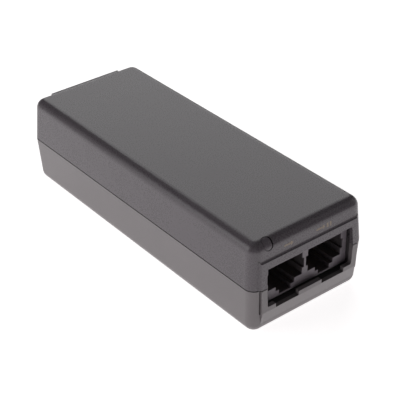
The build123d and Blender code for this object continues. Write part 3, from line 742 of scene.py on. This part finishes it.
def printed(name, outlines, middle_z):
    """Outlines in millimetres, made into thin plates on the leaning front face."""
    mesh = bmesh.new()
    for outline in outlines:
        ring = [mesh.verts.new((x * MM, 0, z * MM)) for x, z in outline]
        face = mesh.faces.new(ring)
        raised = bmesh.ops.extrude_face_region(mesh, geom=[face])["geom"]
        front = [g for g in raised if isinstance(g, bmesh.types.BMVert)]
        bmesh.ops.translate(mesh, vec=(0, -INK_THICK, 0), verts=front)
    bmesh.ops.recalc_face_normals(mesh, faces=mesh.faces)
    rise = middle_z - PARTING_Z
    place = Matrix.Translation((0, FRONT_AT_PARTING + rise * math.tan(WALL_LEAN), middle_z))
    bmesh.ops.transform(mesh, matrix=place @ Matrix.Rotation(-WALL_LEAN, 4, "X"),
                        verts=mesh.verts)
    piece = bpy.data.objects.new(name, bpy.data.meshes.new(name))
    mesh.to_mesh(piece.data)
    mesh.free()
    piece.data.materials.append(print_ink)
    bpy.context.scene.collection.objects.link(piece)
    return keep(piece, "case_plastic")


printed("data_port_mark", [arrow(-8.8, 3.2)], MARK_Z)
printed("power_port_mark", [arrow(2.4, 3.2), bar(6.1, 0.6), bar(7.2, 0.6)], MARK_Z)
print("marks printed:", 2)

# %% [markdown]
# ## The studio
# A product studio is a pale floor under broad soft lights: one above, strong ones behind
# and at the left, and two weak ones that fill the shadows in front. The top and the sides
# pick up a sheen, while the rounded edges between them mirror the dark of the room and
# draw the outline. The floor also glows, so that it stays white, and it is clear from
# below, so that the underside can be looked at. The lights are hidden from the camera, and
# the camera alone sees a white room.


# %% Floor and lights
def soft_light(name, direction, distance, size, power):
    """A square light at some distance along a direction, facing the injector."""
    lamp = bpy.data.lights.new(name, "AREA")
    lamp.size = size
    lamp.energy = power
    holder = bpy.data.objects.new(name, lamp)
    way = Vector(direction).normalized()
    holder.location = way * distance
    holder.rotation_euler = way.to_track_quat("Z", "Y").to_euler()
    holder.visible_camera = False
    bpy.context.scene.collection.objects.link(holder)
    return holder


FLOOR_HALF = 3.0
FLOOR_Z = -0.05 * MM        # just clear of the case, so that the two never flicker
floor_mesh = bpy.data.meshes.new("floor")
corners = [(-1, -1), (1, -1), (1, 1), (-1, 1)]
floor_mesh.from_pydata([(x * FLOOR_HALF, y * FLOOR_HALF, FLOOR_Z) for x, y in corners], [],
                       [(0, 1, 2, 3)])
floor = bpy.data.objects.new("floor", floor_mesh)
bpy.context.scene.collection.objects.link(floor)
paper = Finish("floor_paper")
lit = paper.node("ShaderNodeBsdfPrincipled", {}, {
    "Base Color": paper.mix(paper.noise(0.4), (0.90, 0.90, 0.90), (0.93, 0.93, 0.93)),
    "Roughness": 0.8, "Emission Color": (1, 0.985, 0.985, 1), "Emission Strength": 0.85})
below = paper.node("ShaderNodeNewGeometry", output=6)
clear = paper.node("ShaderNodeBsdfTransparent")
paper.node("ShaderNodeOutputMaterial", {}, {
    "Surface": paper.node("ShaderNodeMixShader", {}, {0: below, 1: lit, 2: clear})})
floor_mesh.materials.append(paper.material)

soft_light("overhead_softbox", (0.10, 0.35, 1.0), 1.6, 1.5, 1.4)
soft_light("rear_softbox", (0.51, 0.67, 0.50), 1.5, 1.1, 5.4)
soft_light("left_softbox", (-1.0, 0.5, 0.45), 1.6, 1.0, 6.6)
soft_light("right_fill", (1.0, -0.4, 0.5), 1.6, 1.0, 1.6)
soft_light("front_fill", (-0.55, -0.9, 0.35), 1.8, 1.2, 1.0)

world = bpy.data.worlds.new("room")
bpy.context.scene.world = world
world.use_nodes = True
room = Graph(world.node_tree)
air = room.node("ShaderNodeBackground", {}, {"Color": (1, 1, 1, 1), "Strength": 0.05})
backdrop = room.node("ShaderNodeBackground", {}, {"Color": (1, 1, 1, 1), "Strength": 1.0})
seen = room.node("ShaderNodeLightPath")
room.node("ShaderNodeOutputWorld", {}, {
    "Surface": room.node("ShaderNodeMixShader", {}, {0: seen, 1: air, 2: backdrop})})
bpy.context.scene.view_settings.view_transform = "Standard"

# %% [markdown]
# ## The camera
# The camera looks down on the port end from the front left. A long lens keeps the case's
# edges close to parallel. The lens is shifted a little off centre, and the camera leans by
# a degree or so.

# %% Camera
AZIMUTH, ELEVATION, ROLL = (math.radians(v) for v in (-37.19, 32.39, -1.36))
DISTANCE = 0.3471
AIM = Vector((0, 0, 0.01333))
back = Vector((math.sin(AZIMUTH) * math.cos(ELEVATION),
               -math.cos(AZIMUTH) * math.cos(ELEVATION), math.sin(ELEVATION)))
level_right = Vector((math.cos(AZIMUTH), math.sin(AZIMUTH), 0))
level_up = back.cross(level_right)
right = level_right * math.cos(ROLL) + level_up * math.sin(ROLL)
up = level_up * math.cos(ROLL) - level_right * math.sin(ROLL)
lens = bpy.data.cameras.new("camera")
lens.sensor_width = 36.0
lens.lens = 106.07
lens.shift_x = 0.0336
lens.shift_y = -0.0337
lens.clip_start = 0.01
camera = bpy.data.objects.new("camera", lens)
camera.matrix_world = Matrix.Translation(AIM + back * DISTANCE) @ Matrix(
    (right, up, back)).transposed().to_4x4()
bpy.context.scene.collection.objects.link(camera)
bpy.context.scene.camera = camera
print("camera at, millimetres:", [round(v / MM) for v in camera.location])
